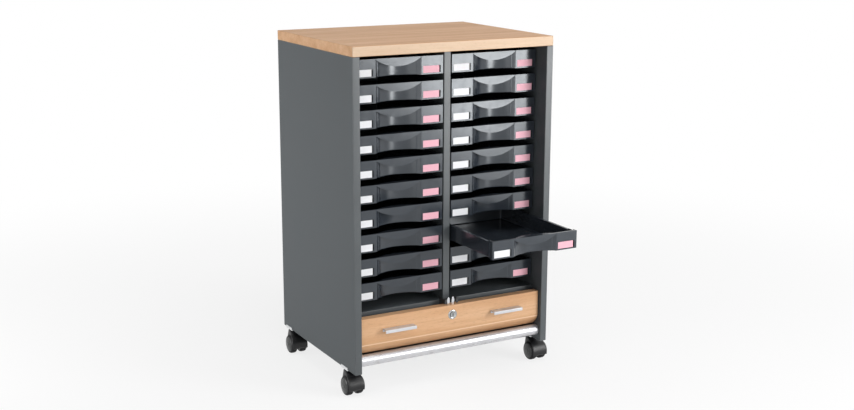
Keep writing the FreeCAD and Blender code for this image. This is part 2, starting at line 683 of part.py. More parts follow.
def wheel():
    """Right wheel of a twin castor, centred on the axle line: flat inside, domed outside."""
    radius = WHEEL_DIAMETER / 2
    inner = WHEEL_GAP / 2
    outer = inner + WHEEL_WIDTH
    rim = radius - WHEEL_EDGE_RADIUS
    corner = WHEEL_EDGE_RADIUS * math.sqrt(0.5)

    def at(x, r):
        return FreeCAD.Vector(x, 0, r)

    dome_radius = (rim**2 + WHEEL_DOME**2) / (2 * WHEEL_DOME)
    dome_drop = dome_radius - math.sqrt(dome_radius**2 - rim**2 / 4)  # at half the rim's radius
    edges = [
        Part.makeLine(at(inner, 0), at(inner, radius)),
        Part.makeLine(at(inner, radius), at(outer - WHEEL_EDGE_RADIUS, radius)),
        Part.Arc(
            at(outer - WHEEL_EDGE_RADIUS, radius),
            at(outer - WHEEL_EDGE_RADIUS + corner, rim + corner),
            at(outer, rim),
        ).toShape(),
        Part.Arc(
            at(outer, rim), at(outer + WHEEL_DOME - dome_drop, rim / 2), at(outer + WHEEL_DOME, 0)
        ).toShape(),
        Part.makeLine(at(outer + WHEEL_DOME, 0), at(inner, 0)),
    ]
    solid = Part.Face(Part.Wire(edges)).revolve(FreeCAD.Vector(0, 0, 0), FreeCAD.Vector(1, 0, 0), 360)
    bore = rod((inner, 0, 0), (1, 0, 0), AXLE_DIAMETER + 2 * AXLE_CLEARANCE, WHEEL_WIDTH - AXLE_COVER)
    return solid.cut(bore)


def hood():
    """Hood of a castor about its axle line: shell over the wheels, web between them, swivel boss."""
    inner = WHEEL_DIAMETER / 2 + HOOD_GAP
    outer = inner + HOOD_WALL
    side = -HOOD_HALF_WIDTH
    shell = rod((side, 0, 0), (1, 0, 0), 2 * outer, 2 * HOOD_HALF_WIDTH)
    shell = shell.makeFillet(HOOD_EDGE_RADIUS, [edge for edge in shell.Edges if edge.Closed])
    below = [
        (side, -outer, -outer),
        (side, -outer, HOOD_FRONT_LOW),
        (side, outer, HOOD_REAR_LOW),
        (side, outer, -outer),
    ]
    shell = shell.cut(prism(below, (2 * HOOD_HALF_WIDTH, 0, 0)))
    boss_top = CLASP_Z - BOSS_GAP - AXLE_Z
    boss = rod((0, CASTOR_TRAIL, boss_top - BOSS_HEIGHT), (0, 0, 1), BOSS_DIAMETER, BOSS_HEIGHT)
    arm_half = HOOD_ARM_HALF_HEIGHT
    arm = prism(
        [
            (-HOOD_WEB / 2, -arm_half, -arm_half / 2),
            (-HOOD_WEB / 2, CASTOR_TRAIL, boss_top - BOSS_HEIGHT - HOOD_ARM_DROP),
            (-HOOD_WEB / 2, CASTOR_TRAIL + arm_half, boss_top - BOSS_HEIGHT),
            (-HOOD_WEB / 2, CASTOR_TRAIL, boss_top),
            (-HOOD_WEB / 2, 0, outer),
            (-HOOD_WEB / 2, -arm_half, arm_half),
        ],
        (HOOD_WEB, 0, 0),
    )
    shoulder = prism(
        [
            (-BOSS_DIAMETER / 2, 0, 0),
            (-BOSS_DIAMETER / 2, CASTOR_TRAIL, boss_top - BOSS_HEIGHT),
            (-BOSS_DIAMETER / 2, CASTOR_TRAIL, boss_top - HOOD_SHOULDER_DROP),
            (-BOSS_DIAMETER / 2, CASTOR_TRAIL - BOSS_DIAMETER / 2, boss_top - HOOD_SHOULDER_DROP),
            (-BOSS_DIAMETER / 2, 0, outer - HOOD_WALL / 2),
        ],
        (BOSS_DIAMETER, 0, 0),
    )
    wheel_room = rod((HOOD_WEB / 2, 0, 0), (1, 0, 0), 2 * inner, 2 * HOOD_HALF_WIDTH)
    shape = shell.fuse(boss).fuse(shoulder).cut(wheel_room).cut(mirrored(wheel_room)).fuse(arm)
    shape = shape.cut(rod((-HOOD_HALF_WIDTH, 0, 0), (1, 0, 0), AXLE_DIAMETER, 2 * HOOD_HALF_WIDTH))
    stem_low = boss_top - BOSS_HEIGHT + BOSS_FLOOR
    stem_hole = rod((0, CASTOR_TRAIL, stem_low), (0, 0, 1), STEM_DIAMETER, BOSS_HEIGHT)
    return shape.cut(stem_hole).removeSplitter()


def castor_pins():
    """Stem and axle of a castor about its axle line, as two solids."""
    boss_top = CLASP_Z - BOSS_GAP - AXLE_Z
    low = boss_top - BOSS_HEIGHT + BOSS_FLOOR
    high = PANEL_Z + STEM_IN_PANEL - STEM_END_GAP - AXLE_Z
    stem = rod((0, CASTOR_TRAIL, low), (0, 0, 1), STEM_DIAMETER, high - low)
    half = WHEEL_GAP / 2 + WHEEL_WIDTH - AXLE_COVER - AXLE_END_GAP
    axle = rod((-half, 0, 0), (1, 0, 0), AXLE_DIAMETER, 2 * half)
    return Part.makeCompound([stem, axle])


def clasp(x, y):
    """Clasp around the lower edge of a side panel, with the sleeve for the castor's stem."""
    outer = block(
        centred(x, BOARD + 2 * CLASP_WALL), centred(y, CLASP_LENGTH), (CLASP_Z, PANEL_Z + CLASP_HEIGHT)
    )
    outer = outer.cut(
        block(centred(x, BOARD), centred(y, CLASP_LENGTH), (PANEL_Z, PANEL_Z + CLASP_HEIGHT))
    )
    bore = STEM_DIAMETER + 2 * STEM_CLEARANCE
    outer = outer.cut(rod((x, y, CLASP_Z), (0, 0, 1), bore, CLASP_WALL))
    sleeve = rod((x, y, PANEL_Z), (0, 0, 1), bore + 2 * SLEEVE_WALL, STEM_IN_PANEL)
    sleeve = sleeve.cut(rod((x, y, PANEL_Z), (0, 0, 1), bore, STEM_IN_PANEL))
    return [outer, sleeve]


def make_castors():
    """Four castors, their wheels trailing towards the front."""
    right_wheel = wheel()
    wheels = Part.makeCompound([mirrored(right_wheel), right_wheel])
    hood_shape = hood()
    pins = castor_pins()
    clasps = []
    for name, x, y in castor_places():
        axle_y = y - CASTOR_TRAIL
        save("castor_wheels_" + name, moved(wheels, x, axle_y, AXLE_Z))
        save("castor_hood_" + name, moved(hood_shape, x, axle_y, AXLE_Z))
        save("castor_pins_" + name, moved(pins, x, axle_y, AXLE_Z))
        clasps += clasp(x, y)
    save("castor_clasps", Part.makeCompound(clasps))


os.makedirs("parts", exist_ok=True)
make_carcass()
make_front_tube()
make_trays()
make_runners()
make_drawer_box()
make_drawer_slides()
make_handles()
make_lock()
make_castors()
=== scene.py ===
"""Looks of the mobile tray storage unit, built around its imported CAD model.

Metres, +Z up, the front faces -Y. A piece that stands for a CAD node takes its place from that
node's box.
"""

import json
import math

import bmesh
import bpy
from mathutils import Matrix, Vector

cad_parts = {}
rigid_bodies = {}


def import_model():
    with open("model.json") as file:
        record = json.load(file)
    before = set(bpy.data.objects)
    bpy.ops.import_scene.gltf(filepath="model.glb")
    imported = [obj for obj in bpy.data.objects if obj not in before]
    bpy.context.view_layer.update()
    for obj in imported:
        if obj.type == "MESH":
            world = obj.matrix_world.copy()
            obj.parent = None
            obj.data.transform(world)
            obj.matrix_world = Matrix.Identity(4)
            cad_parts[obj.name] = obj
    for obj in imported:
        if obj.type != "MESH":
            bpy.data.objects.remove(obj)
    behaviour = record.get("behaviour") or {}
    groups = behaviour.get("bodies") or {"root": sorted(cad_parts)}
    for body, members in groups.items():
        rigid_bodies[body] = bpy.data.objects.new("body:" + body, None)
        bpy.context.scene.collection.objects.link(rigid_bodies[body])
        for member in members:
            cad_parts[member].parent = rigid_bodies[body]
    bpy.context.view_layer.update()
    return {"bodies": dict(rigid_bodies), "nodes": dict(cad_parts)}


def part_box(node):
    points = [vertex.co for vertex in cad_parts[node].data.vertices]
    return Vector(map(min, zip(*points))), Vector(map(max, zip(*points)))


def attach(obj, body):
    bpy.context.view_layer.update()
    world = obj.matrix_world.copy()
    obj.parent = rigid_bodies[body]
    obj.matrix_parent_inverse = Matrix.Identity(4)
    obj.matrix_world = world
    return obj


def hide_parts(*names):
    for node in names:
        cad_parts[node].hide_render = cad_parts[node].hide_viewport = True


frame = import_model()

MM = 0.001

# Camera at the photograph's viewing angle
IMAGE_WIDTH = 854
FOCAL_PX = 1284.0
SENSOR = 36.0
CAMERA_AT = (-1.596, -2.886, 1.214)
CAMERA_YAW = 28.94
CAMERA_PITCH = -13.23
CAMERA_ROLL = 0.19

# Studio
LAMPS = (  # name, place, target, size, power
    ("softbox_right", (1.55, -2.05, 1.05), (0, -0.1, 0.7), (0.9, 1.7), 45),
    ("softbox_foot", (1.3, -1.8, 0.12), (0, -0.1, 0.3), (0.9, 0.24), 1.4),
    ("front_left", (-1.2, -2.1, 0.6), (0, -0.12, 0.2), (2.2, 1.1), 7.5),
    ("fill_left", (-1.9, 0.7, 0.3), (-0.28, 0.06, 0.3), (1.2, 0.6), 19),
    ("top_soft", (0, -0.9, 3.2), (0, 0, 0.7), (2.0, 1.6), 29),
)
WORLD_LIGHT = 0.28  # strength of the white world where it lights the object
FLOOR_SIZE = 30
FLOOR_COLOUR = (0.90, 0.90, 0.90, 1)
FLOOR_GLOW_NEAR = 0.80  # share of plain white near the object, where the rest shows the shadow
FLOOR_NEAR = 0.6  # out to here, and only plain white from FLOOR_FAR on
FLOOR_FAR = 2.6

# Trays. Places count from the middle of the front's lower edge, +Y into the tray.
TRAY_HEIGHT = 46 * MM
TRAY_LENGTH = 350 * MM
TRAY_EDGE = 0.35 * MM
FRONT_HALF = 125.45 * MM
TUB_HALF = 119.85 * MM
TUB_FRONT = 5.5 * MM
TUB_WALL = 2 * MM
TUB_CORNER = 7 * MM
PLATE_STEP = 0.8 * MM  # the middle of the front lies this far behind its label ends
PLATE_SLOPE = ((0, -1), (0, 0), (0.5, 0.1), (0.9, 0.3), (1.7, 0.7), (2.1, 0.8))  # in and back, mm
PLATE_BACK = 3 * MM
FRONT_RIM_HEIGHT = TRAY_HEIGHT - 0.3 * MM
RIM_HEIGHT = 43 * MM
RAIL_LOW = 40.5 * MM
SHOULDER = 27 * MM  # from here back, the rim is lower
SHOULDER_STEP = (SHOULDER - 0.5 * MM, SHOULDER + 0.5 * MM)
PULL_HALF = 63 * MM
OPENING_HALF = 61.9 * MM
PULL_DEPTH = 22 * MM
PULL_RADIUS = (PULL_HALF**2 + PULL_DEPTH**2) / (2 * PULL_DEPTH)
PULL_CENTRE = PULL_DEPTH - PULL_RADIUS
PULL_INSET_LOW = 0.8 * MM  # largest inset of the recess wall below the tray's floor
RECESS_FRONT = PLATE_STEP + 0.05 * MM
RECESS_BACK = 6.3 * MM
RECESS_LOW = 0.35 * MM
RECESS_HEIGHT = 43.65 * MM
LIP_EDGE = 43.5 * MM  # lower edge of the curved lip at its ends
LIP_DROP = 18.5 * MM  # and this much lower in its middle
RETURN_DEPTH = 14 * MM
STEP_X = 64.2 * MM

# Label cards
CARD_WIDTH = 45.6 * MM
CARD_HEIGHT = 17.4 * MM
CARD_THICKNESS = 0.3 * MM
CARD_SET_BACK = 0.35 * MM
CARD_BOW = 0.12 * MM
CARD_LOW = 3.8 * MM
CARD_PLACES = (-120.0 * MM, 69.2 * MM)
CARD_SLOT = 3.8 * MM
POCKET_DEPTH = 0.9 * MM
POCKET_PLAY = 0.4 * MM
POCKET_END_PLAY = 0.2 * MM
SLOT_INSET = 0.5 * MM

# Tube
TUBE_WALL = 1.5 * MM
TUBE_SEAM = 0.5 * MM
TUBE_LIP = 2 * MM

# Drawer
FRONT_BEND = 26 * MM  # radius between the upright face and the bevel
FRONT_BEVEL = math.radians(45)
# height of a painted highlight: a paler line in the beech where the drawer front's bend catches
# light
PAINTED_GLINT_HEIGHT = 132 * MM
HOOK_SLOT_HALF = 19 * MM
HOOK_SLOT_PLAY = 1.9 * MM
HOOK_SLOT_DEPTH = 20 * MM
HANDLE_LENGTH = 88 * MM
HANDLE_WALL = 2 * MM
HANDLE_POST = 3.5 * MM
HANDLE_POST_INSET = 10 * MM
KEY_BORE = 9.4 * MM
KEY_HEIGHT = 22 * MM  # key cylinder above the foot of the lock case
LOCK_CASE_DEPTH = 14 * MM
LOCK_CASE_FLOOR = 3 * MM
COLLAR_BORE = 7.1 * MM
COLLAR_REACH = (1.0, 1.1, 1.9, 2.0, 1.9, 1.4, 0.7, 0.1, 0)  # in front of the drawer, in mm
COLLAR_RADIUS = (7.1, 7.8, 8.9, 9.6, 10.4, 11.8, 12.7, 13.0, 13.0)

# Castors
CASTORS = ("front_left", "front_right", "rear_left", "rear_right")
WHEEL_RADIUS = 25 * MM
WHEEL_INNER = 5 * MM
WHEEL_OUTER = 22.5 * MM
WHEEL_DOME = 2.9 * MM
WHEEL_EDGE = 5 * MM
WHEEL_INNER_EDGE = 5.5 * MM
WHEEL_HOLLOW = 1.2 * MM
WHEEL_CAP = 0.38  # radius of the hub cap as a share of the disc's
CASTOR_TRAIL = 24 * MM
HOOD_INNER = 26.2 * MM
HOOD_OUTER = 28.2 * MM
HOOD_HALF = 22.4 * MM
HOOD_TOP_HALF = 17.5 * MM
HOOD_NARROW = 80  # narrow up to this angle, in degrees from the back over the top to the front
HOOD_WIDEN = 75  # and widening over this one
HOOD_WEB = 8 * MM
HOOD_FRONT_LOW = -9 * MM
HOOD_ARCH = 0.13  # the lower front edge rises by this angle in the middle
HOOD_ARCH_REACH = 0.9  # and the bend fades out over this angle
HOOD_WEB_BACK = 0.15  # the web starts this angle behind the arch
HOOD_REAR_LOW = 3 * MM
BOSS_TOP = 35.2 * MM
BOSS_RADIUS = 12 * MM
BOSS_ROUNDING = ((0, 4.6), (0.5, 2.9), (1.6, 1.3), (3.4, 0.3), (5.0, 0))  # drop and inset, in mm
FAIRING_REACH = (math.radians(20), math.radians(112))


# Node materials ----------------------------------------------------------------------------------


def add_node(tree, kind, sockets=(), **settings):
    """Adds a node, with its settings and its socket values or links."""
    made = tree.nodes.new("ShaderNode" + kind)
    for key, value in settings.items():
        setattr(made, key, value)
    for key, value in dict(sockets).items():
        if isinstance(value, bpy.types.NodeSocket):
            tree.links.new(value, made.inputs[key])
        else:
            made.inputs[key].default_value = value
    return made


class Shader:
    """A material with one Principled shader, and short calls to wire its textures."""

    def __init__(self, name, **sockets):
        self.material = bpy.data.materials.new(name)
        self.material.use_nodes = True
        self.tree = self.material.node_tree
        self.surface = self.tree.nodes["Principled BSDF"]
        for socket, value in sockets.items():
            self.surface.inputs[socket.replace("_", " ")].default_value = value

    def place(self, stretch=(1, 1, 1)):
        """Object coordinates, stretched."""
        where = add_node(self.tree, "TexCoord").outputs["Object"]
        mapped = add_node(self.tree, "Mapping", {"Vector": where, "Scale": stretch})
        return mapped.outputs["Vector"]

    def noise(self, vector, scale, detail, rough=0.5):
        """Noise from 0 to 1."""
        sockets = {"Vector": vector, "Scale": scale, "Detail": detail, "Roughness": rough}
        return add_node(self.tree, "TexNoise", sockets).outputs["Fac"]

    def ramp(self, value, stops):
        """Colour ramp through (place, colour) stops."""
        made = add_node(self.tree, "ValToRGB", {"Fac": value})
        band = made.color_ramp
        for _ in range(len(stops) - 2):
            band.elements.new(0.5)
        for element, (place, colour) in zip(band.elements, stops):
            element.position = place
            element.color = (*colour, 1)
        return made.outputs["Color"]

    def mix(self, factor, base, colour):
        """A plain colour mixed over the base."""
        sockets = {0: factor, 6: base, 7: (*colour, 1)}
        return add_node(self.tree, "Mix", sockets, data_type="RGBA").outputs[2]

    def map(self, value, low, high, start, end):
        """Value moved from the range start-end to low-high."""
        sockets = {"Value": value, "From Min": start, "From Max": end}
        sockets |= {"To Min": low, "To Max": high}
        return add_node(self.tree, "MapRange", sockets).outputs["Result"]

    def distance_in_height(self, height):
        """How far a point lies above or below a height."""
        split = add_node(self.tree, "SeparateXYZ", {"Vector": self.place()})
        sockets = {0: split.outputs["Z"], 1: height}
        above = add_node(self.tree, "Math", sockets, operation="SUBTRACT").outputs[0]
        return add_node(self.tree, "Math", {0: above}, operation="ABSOLUTE").outputs[0]

    def colour(self, value):
        """Links the base colour."""
        self.tree.links.new(value, self.surface.inputs["Base Color"])

    def roughness(self, value):
        """Links the roughness."""
        self.tree.links.new(value, self.surface.inputs["Roughness"])

    def bump(self, value, strength, distance):
        """Links a bump."""
        sockets = {"Height": value, "Strength": strength, "Distance": distance}
        made = add_node(self.tree, "Bump", sockets)
        self.tree.links.new(made.outputs["Normal"], self.surface.inputs["Normal"])


def shade(colour, factor):
    """Colour times a factor."""
    return tuple(channel * factor for channel in colour)


def melamine(name, colour, roughness, level=0.5):
    """Plain melamine-faced board: fine pearl texture and slight clouding."""
    made = Shader(name, Specular_IOR_Level=level)
    at = made.place()
    cloud = made.noise(at, 9, 3)
    speck = made.noise(at, 1400, 2, 0.7)
    base = made.ramp(cloud, [(0.3, shade(colour, 0.94)), (0.7, shade(colour, 1.05))])
    made.colour(made.mix(made.map(speck, 0.0, 0.16, 0.4, 0.75), base, shade(colour, 1.9)))
    made.roughness(made.map(cloud, roughness - 0.03, roughness + 0.05, 0.3, 0.7))
    made.bump(made.noise(at, 900, 2, 0.6), 0.10, 0.0002)
    return made.material


def beech(name, tones, roughness, level=0.5, painted_glint=None):
    """Beech print: long soft bands along X, short dark flecks and fine pores.

    Takes a pale, a middle and a deep tone. Given a height, a paler line of colour along it is a
    painted highlight, standing in for the light that a bend catches.
    """
    pale, mid, deep = tones
    made = Shader(name, Specular_IOR_Level=level)
    band = made.noise(made.place((0.6, 9, 9)), 3.0, 4, 0.55)
    streak = made.noise(made.place((2.2, 60, 60)), 3.0, 3, 0.6)
    fleck = made.noise(made.place((26, 330, 330)), 3.2, 2, 0.5)
    base = made.ramp(band, [(0.32, pale), (0.5, mid), (0.68, deep)])
    base = made.mix(made.map(streak, 0.0, 0.55, 0.44, 0.70), base, deep)
    base = made.mix(made.map(fleck, 0.0, 0.55, 0.60, 0.72), base, shade(deep, 0.62))
    # painted highlight: a paler line of colour along one height, in place of the light that the
    # bend catches
    if painted_glint:
        away = made.distance_in_height(painted_glint)
        base = made.mix(made.map(away, 0.85, 0.0, 0.5 * MM, 2.4 * MM), base, PAINTED_GLINT_COLOUR)
    made.colour(base)
    made.roughness(made.map(streak, roughness - 0.04, roughness + 0.06, 0.3, 0.7))
    made.bump(fleck, 0.06, 0.0002)
    return made.material


def plastic(name, colour, roughness, grain=0.08, level=0.5, tint=(1, 1, 1)):
    """Moulded plastic with a fine spark-eroded grain and faint flow marks."""
    made = Shader(name, Specular_IOR_Level=level, Specular_Tint=(*tint, 1))
    at = made.place()
    flow = made.noise(made.place((1, 1, 3)), 14, 2)
    made.colour(made.ramp(flow, [(0.3, shade(colour, 0.90)), (0.7, shade(colour, 1.10))]))
    made.roughness(made.map(made.noise(at, 60, 3), roughness - 0.04, roughness + 0.04, 0.3, 0.7))
    made.bump(made.noise(at, 1100, 2, 0.6), grain, 0.0002)
    return made.material


def metal(name, colour, roughness, bump, brushed=False, metallic=1.0):
    """Metal or metal lacquer, brushed along X or blotched all over."""
    made = Shader(name, Metallic=metallic)
    at = made.place((0.05, 1, 1) if brushed else (1, 1, 1))
    fine = made.noise(at, 260 if brushed else 500, 3, 0.6)
    broad = made.noise(made.place(), 35, 3)
    made.colour(made.ramp(broad, [(0.3, shade(colour, 0.93)), (0.7, shade(colour, 1.04))]))
    made.roughness(made.map(fine, roughness * 0.8, roughness * 1.25, 0.3, 0.7))
    made.bump(fine, bump, 0.0001)
    return made.material


def card(name, colour, print_colour):
    """Label card: faint fibres and a slight sheen."""
    coat = {"Coat_Weight": 0.08, "Coat_Roughness": 0.25}
    made = Shader(name, Roughness=0.5, Specular_IOR_Level=0.2, **coat)
    fibre = made.noise(made.place(), 420, 3, 0.7)
    made.colour(made.ramp(fibre, [(0.3, colour), (0.7, print_colour)]))
    made.bump(fibre, 0.04, 0.0001)
    return made.material


ANTHRACITE = (0.074, 0.084, 0.090)
BEECH = ((0.720, 0.450, 0.262), (0.660, 0.388, 0.212), (0.575, 0.315, 0.158))
# paler beech for the top board's front and back edges: a painted highlight where the rounded front
# edge catches light
BEECH_EDGE_PAINTED_HIGHLIGHT = ((0.725, 0.552, 0.400), (0.680, 0.502, 0.350), (0.605, 0.425, 0.280))
# colour of the painted highlight line along the drawer front's bend
PAINTED_GLINT_COLOUR = (0.86, 0.62, 0.42)
TRAY_GREY = (0.027, 0.033, 0.042)
TRAY_TINT = (0.93, 0.97, 1.0)

paint = {
    "anthracite": melamine("anthracite_melamine", ANTHRACITE, 0.42, 0.15),
    "anthracite_edge": melamine("anthracite_edge_band", shade(ANTHRACITE, 0.95), 0.34, 0.6),
    "dark_board": melamine("dark_melamine", shade(ANTHRACITE, 0.7), 0.45),
    "drawer_board": melamine("drawer_foil", (0.34, 0.35, 0.36), 0.45),
    "beech": beech("beech_print", BEECH, 0.52, 0.25),
    # drawer front beech with a painted highlight line along its bend
    "beech_front_painted_glint": beech("beech_print_bent_painted_glint", BEECH, 0.46, 0.3, PAINTED_GLINT_HEIGHT),
    # edge beech made paler than the top, as a painted highlight on the rounded front edge
    "beech_edge_highlight": beech("beech_edge_band_painted_highlight", BEECH_EDGE_PAINTED_HIGHLIGHT, 0.40, 0.35),
    "dowel": beech("dowel_beech", BEECH, 0.6),
    "tray": plastic("tray_plastic", TRAY_GREY, 0.18, 0.03, 0.70, TRAY_TINT),
    "runner": plastic("runner_plastic", (0.020, 0.022, 0.025), 0.45),
    "hood": plastic("castor_hood_plastic", (0.008, 0.008, 0.009), 0.40, 0.04, 0.42),
    "disc": plastic("castor_disc_plastic", (0.012, 0.013, 0.013), 0.30, 0.04),
    "tread": plastic("castor_tread_rubber", (0.006, 0.006, 0.007), 0.55, 0.12, 0.2),
    "plug": plastic("plug_plastic", (0.02, 0.02, 0.021), 0.45),
    "tube": metal("tube_silver_lacquer", (0.60, 0.60, 0.62), 0.30, 0.02, True, 0.6),
    "handle": metal("handle_satin_aluminium", (0.60, 0.61, 0.63), 0.38, 0.03, True, 0.6),
    "chrome": metal("hook_chrome", (0.70, 0.71, 0.73), 0.10, 0.01),
    "lock": metal("lock_nickel", (0.44, 0.45, 0.45), 0.15, 0.01),
    "zinc": metal("zinc_plate", (0.70, 0.71, 0.72), 0.34, 0.05),
    "keep": plastic("keep_powder_coat", (0.030, 0.030, 0.031), 0.50, 0.25),
    "white_card": card("label_card_white", (0.80, 0.81, 0.84), (0.84, 0.85, 0.87)),
    "pink_card": card("label_card_pink", (0.79, 0.42, 0.50), (0.83, 0.46, 0.54)),
}


# Mesh helpers ------------------------------------------------------------------------------------


def link(name, data):
    """Object in the scene."""
    made = bpy.data.objects.new(name, data)
    bpy.context.scene.collection.objects.link(made)
    return made


def mesh_from(name, bm):
    """Mesh from a bmesh, which is freed."""
    mesh = bpy.data.meshes.new(name)
    bm.to_mesh(mesh)
    bm.free()
    return mesh


def soften(made, width, segments=3, angle=30):
    """Rounds the edges and evens the normals of the flat faces between them."""
    if width > 0:
        edge = made.modifiers.new("edge", "BEVEL")
        edge.width = width
        edge.segments = segments
        edge.limit_method = "ANGLE"
        edge.angle_limit = math.radians(angle)
    even = made.modifiers.new("normals", "WEIGHTED_NORMAL")
    even.keep_sharp = True
    return made


def piece(name, bm, materials, bevel=0.0, segments=3):
    """Object from a bmesh, smooth, with rounded edges."""
    bmesh.ops.recalc_face_normals(bm, faces=bm.faces)
    for face in bm.faces:
        face.smooth = True
    mesh = mesh_from(name, bm)
    for material in materials:
        mesh.materials.append(material)
    return soften(link(name, mesh), bevel, segments)


def final_mesh(made):
    """The object's mesh with its modifiers applied."""
    graph = bpy.context.evaluated_depsgraph_get()
    return bpy.data.meshes.new_from_object(made.evaluated_get(graph))


def baked(made):
    """The object's final mesh, and the object removed."""
    mesh = final_mesh(made)
    mesh.name = made.name
    bpy.data.objects.remove(made)
    return mesh


def add_box(bm, low, high):
    """Box between two corners."""
    middle = [(a + b) / 2 for a, b in zip(low, high)]
    size = [b - a for a, b in zip(low, high)]
    place = Matrix.Translation(middle) @ Matrix.Diagonal((*size, 1))
    bmesh.ops.create_cube(bm, size=1, matrix=place)


def add_prism(bm, outline, push):
    """Polygon extruded by the push vector."""
    face = bm.faces.new([bm.verts.new(p) for p in outline])
    made = bmesh.ops.extrude_face_region(bm, geom=[face])["geom"]
    verts = [g for g in made if isinstance(g, bmesh.types.BMVert)]
    bmesh.ops.translate(bm, verts=verts, vec=push)


def add_loft(bm, rings, closed=False):
    """Skin through rings of points, capped at both ends or closed from the last to the first."""
    made = [[bm.verts.new(p) for p in ring] for ring in rings]
    for one, two in zip(made, made[1:] + (made[:1] if closed else [])):
        for i in range(len(one)):
            j = (i + 1) % len(one)
            bm.faces.new((one[i], one[j], two[j], two[i]))
    if not closed:
        bm.faces.new(list(reversed(made[0])))
        bm.faces.new(made[-1])


def arc(start, end, count):
    """Evenly spaced values from start to end."""
    return [start + (end - start) * i / (count - 1) for i in range(count)]


def full_turn(count):
    """Evenly spaced angles around a circle."""
    return [2 * math.pi * i / count for i in range(count)]


def add_lathe(bm, profile, centre, segments=72):
    """Turned shape about the line through the centre along X, from (x, radius) points."""
    rings = []
    for x, radius in profile:
        ring = []
        for turn in full_turn(segments):
            ring.append(centre + Vector((x, radius * math.cos(turn), radius * math.sin(turn))))
        rings.append(ring)
    add_loft(bm, rings)


def add_post(bm, centre, profile, segments=24, closed=False):
    """Turned shape about the line through the centre (x, z) along Y, from (y, radius) points."""
    rings = []
    for y, radius in profile:
        ring = []
        for turn in full_turn(segments):
            x, z = radius * math.cos(turn), radius * math.sin(turn)
            ring.append((centre[0] + x, y, centre[1] + z))
        rings.append(ring)
    add_loft(bm, rings, closed)


def cut(body, boxes, prisms=()):
    """Takes prisms, by outline and push, and boxes, by corners, out of an object one by one."""
    body.modifiers.clear()
    tools = []
    shapes = [(add_prism, outline, push) for outline, push in prisms]
    for add, one, two in shapes + [(add_box, low, high) for low, high in boxes]:
        bm = bmesh.new()
        add(bm, one, two)
        bmesh.ops.recalc_face_normals(bm, faces=bm.faces)
        tools.append(link("cutter", mesh_from("cutter", bm)))
        step = body.modifiers.new("cut", "BOOLEAN")
        step.object = tools[-1]
        step.operation = "DIFFERENCE"
        step.solver = "EXACT"
    result = final_mesh(body)
    body.modifiers.clear()
    body.data = result
    for tool in tools:
        bpy.data.objects.remove(tool)


def all_smooth(made):
    """Marks every face smooth, also the ones that a cut has made."""
    for polygon in made.data.polygons:
        polygon.use_smooth = True


def stand_for(made, node, body):
    """The piece replaces a CAD node and rides on its body."""
    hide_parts(node)
    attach(made, body)


# Carcass -----------------------------------------------------------------------------------------


def board(node, faces, edges, bevel=1.0 * MM, body="carcass", plain_ends=False):
    """Bevelled board in a node's box: one paint for faces and plain ends, another for edges."""
    low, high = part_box(node)
    bm = bmesh.new()
    add_box(bm, low, high)
    size = high - low
    axis = min(range(3), key=lambda i: size[i])
    bm.normal_update()
    for face in bm.faces:
        plain = abs(face.normal[axis]) > 0.5 or plain_ends and abs(face.normal.x) > 0.5
        face.material_index = 0 if plain else 1
    made = piece(node + "_board", bm, [paint[faces], paint[edges]], bevel)
    made.modifiers["edge"].material = -1 if plain_ends else 1
    stand_for(made, node, body)


def make_carcass():
    """Boards and tube."""
    for node in ("side_panel_left", "side_panel_right"):
        board(node, "anthracite", "anthracite_edge", 1.6 * MM)
    board("divider_panel", "anthracite", "anthracite_edge", 1.2 * MM)
    board("tray_shelf", "anthracite", "anthracite_edge")
    board("base_board", "dark_board", "dark_board")
    board("back_panel", "dark_board", "dark_board", 0.5 * MM)
    # front and back edges take the paler beech, a painted highlight on the rounded front edge; the
    # ends keep the top's beech
    board("top_board", "beech", "beech_edge_highlight", 1.6 * MM, plain_ends=True)
    make_tube()


def make_tube():
    """Silver tube across the foot, with a thin groove that shows as a shadow line near each end."""
    low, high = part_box("front_tube")
    radius = (high.z - low.z) / 2
    half = (high.x - low.x) / 2
    profile = []
    for sign in (-1, 1):
        end = sign * half
        steps = [
            (end, radius - TUBE_WALL),
            (end, radius - TUBE_SEAM),
            (end - sign * TUBE_SEAM, radius),
            (end - sign * TUBE_LIP, radius),
            (end - sign * (TUBE_LIP + TUBE_SEAM), radius - TUBE_SEAM),
            (end - sign * (TUBE_LIP + 2 * TUBE_SEAM), radius),
        ]
        profile += steps if sign < 0 else steps[::-1]
    bm = bmesh.new()
    add_lathe(bm, profile, (low + high) / 2, 96)
    made = piece("front_tube_silver", bm, [paint["tube"]])
    stand_for(made, "front_tube", "carcass")


# Trays -------------------------------------------------------------------------------------------


def tub_outline(inset, pull_inset):
    """Plan of the tray body with the finger recess in its front."""
    half = TUB_HALF - inset
    front = TUB_FRONT + inset
    back = TRAY_LENGTH - inset
    corner = TUB_CORNER - inset
    radius = PULL_RADIUS + pull_inset
    reach = math.acos((front - PULL_CENTRE) / radius)
    points = [(-half, front)]
    for turn in arc(-reach, reach, 33):
        points.append((radius * math.sin(turn), PULL_CENTRE + radius * math.cos(turn)))
    points.append((half, front))
    points += [(half, y) for y in SHOULDER_STEP]
    for sign, start in ((1, 0.0), (-1, math.pi / 2)):
        for turn in arc(start, start + math.pi / 2, 7):
            x = sign * (half - corner) + corner * math.cos(turn)
            points.append((x, back - corner + corner * math.sin(turn)))
    return points + [(-half, y) for y in reversed(SHOULDER_STEP)]


def tub_ring(inset, height, from_rim):
    """Ring of the tray body. Heights count from below, or from the rim, higher near the front."""
    below_floor = not from_rim and height < TUB_WALL
    ring = []
    for x, y in tub_outline(inset, min(inset, PULL_INSET_LOW) if below_floor else inset):
        rim = FRONT_RIM_HEIGHT if y < SHOULDER else RIM_HEIGHT
        ring.append((x, y, rim + height if from_rim else height))
    return ring


